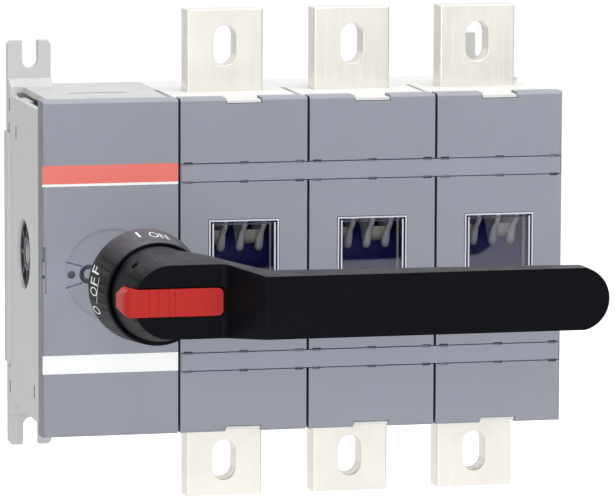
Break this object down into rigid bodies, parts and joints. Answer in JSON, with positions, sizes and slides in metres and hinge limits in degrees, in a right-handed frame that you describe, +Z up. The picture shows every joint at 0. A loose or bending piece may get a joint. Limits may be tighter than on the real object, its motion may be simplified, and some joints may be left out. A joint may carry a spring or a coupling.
{
  "type": "load-break switch disconnector",
  "caption": "Multi-pole panel switch disconnector with side mechanism module, slotted flat terminals, viewing windows and an extended pistol handle with locking slider.",
  "frame": {"origin": "middle of the rear mounting plane", "axes": "+X along the row of modules to the right, +Y to the rear, +Z up"},
  "size_m": [0.3268, 0.31, 0.3014],
  "materials": {
    "housing": "fine matte moulding",
    "cover": "fine matte moulding",
    "band_red": "satin film",
    "label_white": "satin film",
    "strip_grey": "fine matte moulding",
    "window_clear": "clear moulding",
    "silver_plate": "silver plated, lightly brushed",
    "steel": "zinc plated",
    "spring_steel": "drawn wire",
    "drum_navy": "dark moulding",
    "dark_plastic": "dark moulding",
    "handle_black": "fine grained moulding",
    "lock_red": "satin moulding"
  },
  "bodies": {
    "base": {"mech_rear_shell": "housing", "mech_front_shell": "housing", "mech_cover": "cover", "marking_band": "band_red", "label_strips": "label_white", "shaft_bush": "dark_plastic", "shaft_bracket": "steel", "rack_guide": "steel", "side_bearing": "dark_plastic", "switch_ring": "handle_black", "ring_screws": "steel", "marker_strip_top": "strip_grey", "marker_strip_bottom": "strip_grey", "tie_rods": "steel", "foot_left": "housing", "foot_right": "housing", "foot_screws": "steel", "pole_rear_1": "housing", "pole_front_1": "housing", "pole_cover_1": "cover", "window_1": "window_clear", "terminal_top_1": "silver_plate", "terminal_bottom_1": "silver_plate", "arc_plates_1": "steel", "pole_rear_2": "housing", "pole_front_2": "housing", "pole_cover_2": "cover", "window_2": "window_clear", "terminal_top_2": "silver_plate", "terminal_bottom_2": "silver_plate", "arc_plates_2": "steel", "pole_rear_3": "housing", "pole_front_3": "housing", "pole_cover_3": "cover", "window_3": "window_clear", "terminal_top_3": "silver_plate", "terminal_bottom_3": "silver_plate", "arc_plates_3": "steel"},
    "handle": {"handle_shaft": "steel", "drive_pinion": "steel", "handle_grip": "handle_black"},
    "lock": {"lock_slider": "lock_red"},
    "rack": {"drive_rack": "steel", "rack_spring": "spring_steel"},
    "contacts": {"cross_shaft": "steel", "cross_gear": "steel", "drum_1": "drum_navy", "drum_2": "drum_navy", "drum_3": "drum_navy", "blades_1": "silver_plate", "blades_2": "silver_plate", "blades_3": "silver_plate"}
  },
  "joints": [
    {"name": "handle_turn", "type": "hinge", "parent": "base", "child": "handle", "pos_m": [-0.1163, -0.1, 0.0009], "axis": [0, 1, 0], "range_deg": [0, 90]},
    {"name": "lock_slide", "type": "slide", "parent": "handle", "child": "lock", "axis": [-1, 0, 0], "range_m": [0, 0.012]},
    {"name": "rack_slide", "type": "slide", "parent": "base", "child": "rack", "axis": [0, 0, 1], "range_m": [0, 0.01886], "deforming": ["rack_spring"]},
    {"name": "contacts_turn", "type": "hinge", "parent": "base", "child": "contacts", "pos_m": [0, -0.058, 0.002], "axis": [1, 0, 0], "range_deg": [-54.05, 0]}
  ],
  "couplings": [
    {"joint": "rack_slide", "follows": "handle_turn", "m_per_rad": 0.012},
    {"joint": "contacts_turn", "follows": "handle_turn", "ratio": -0.6}
  ]
}
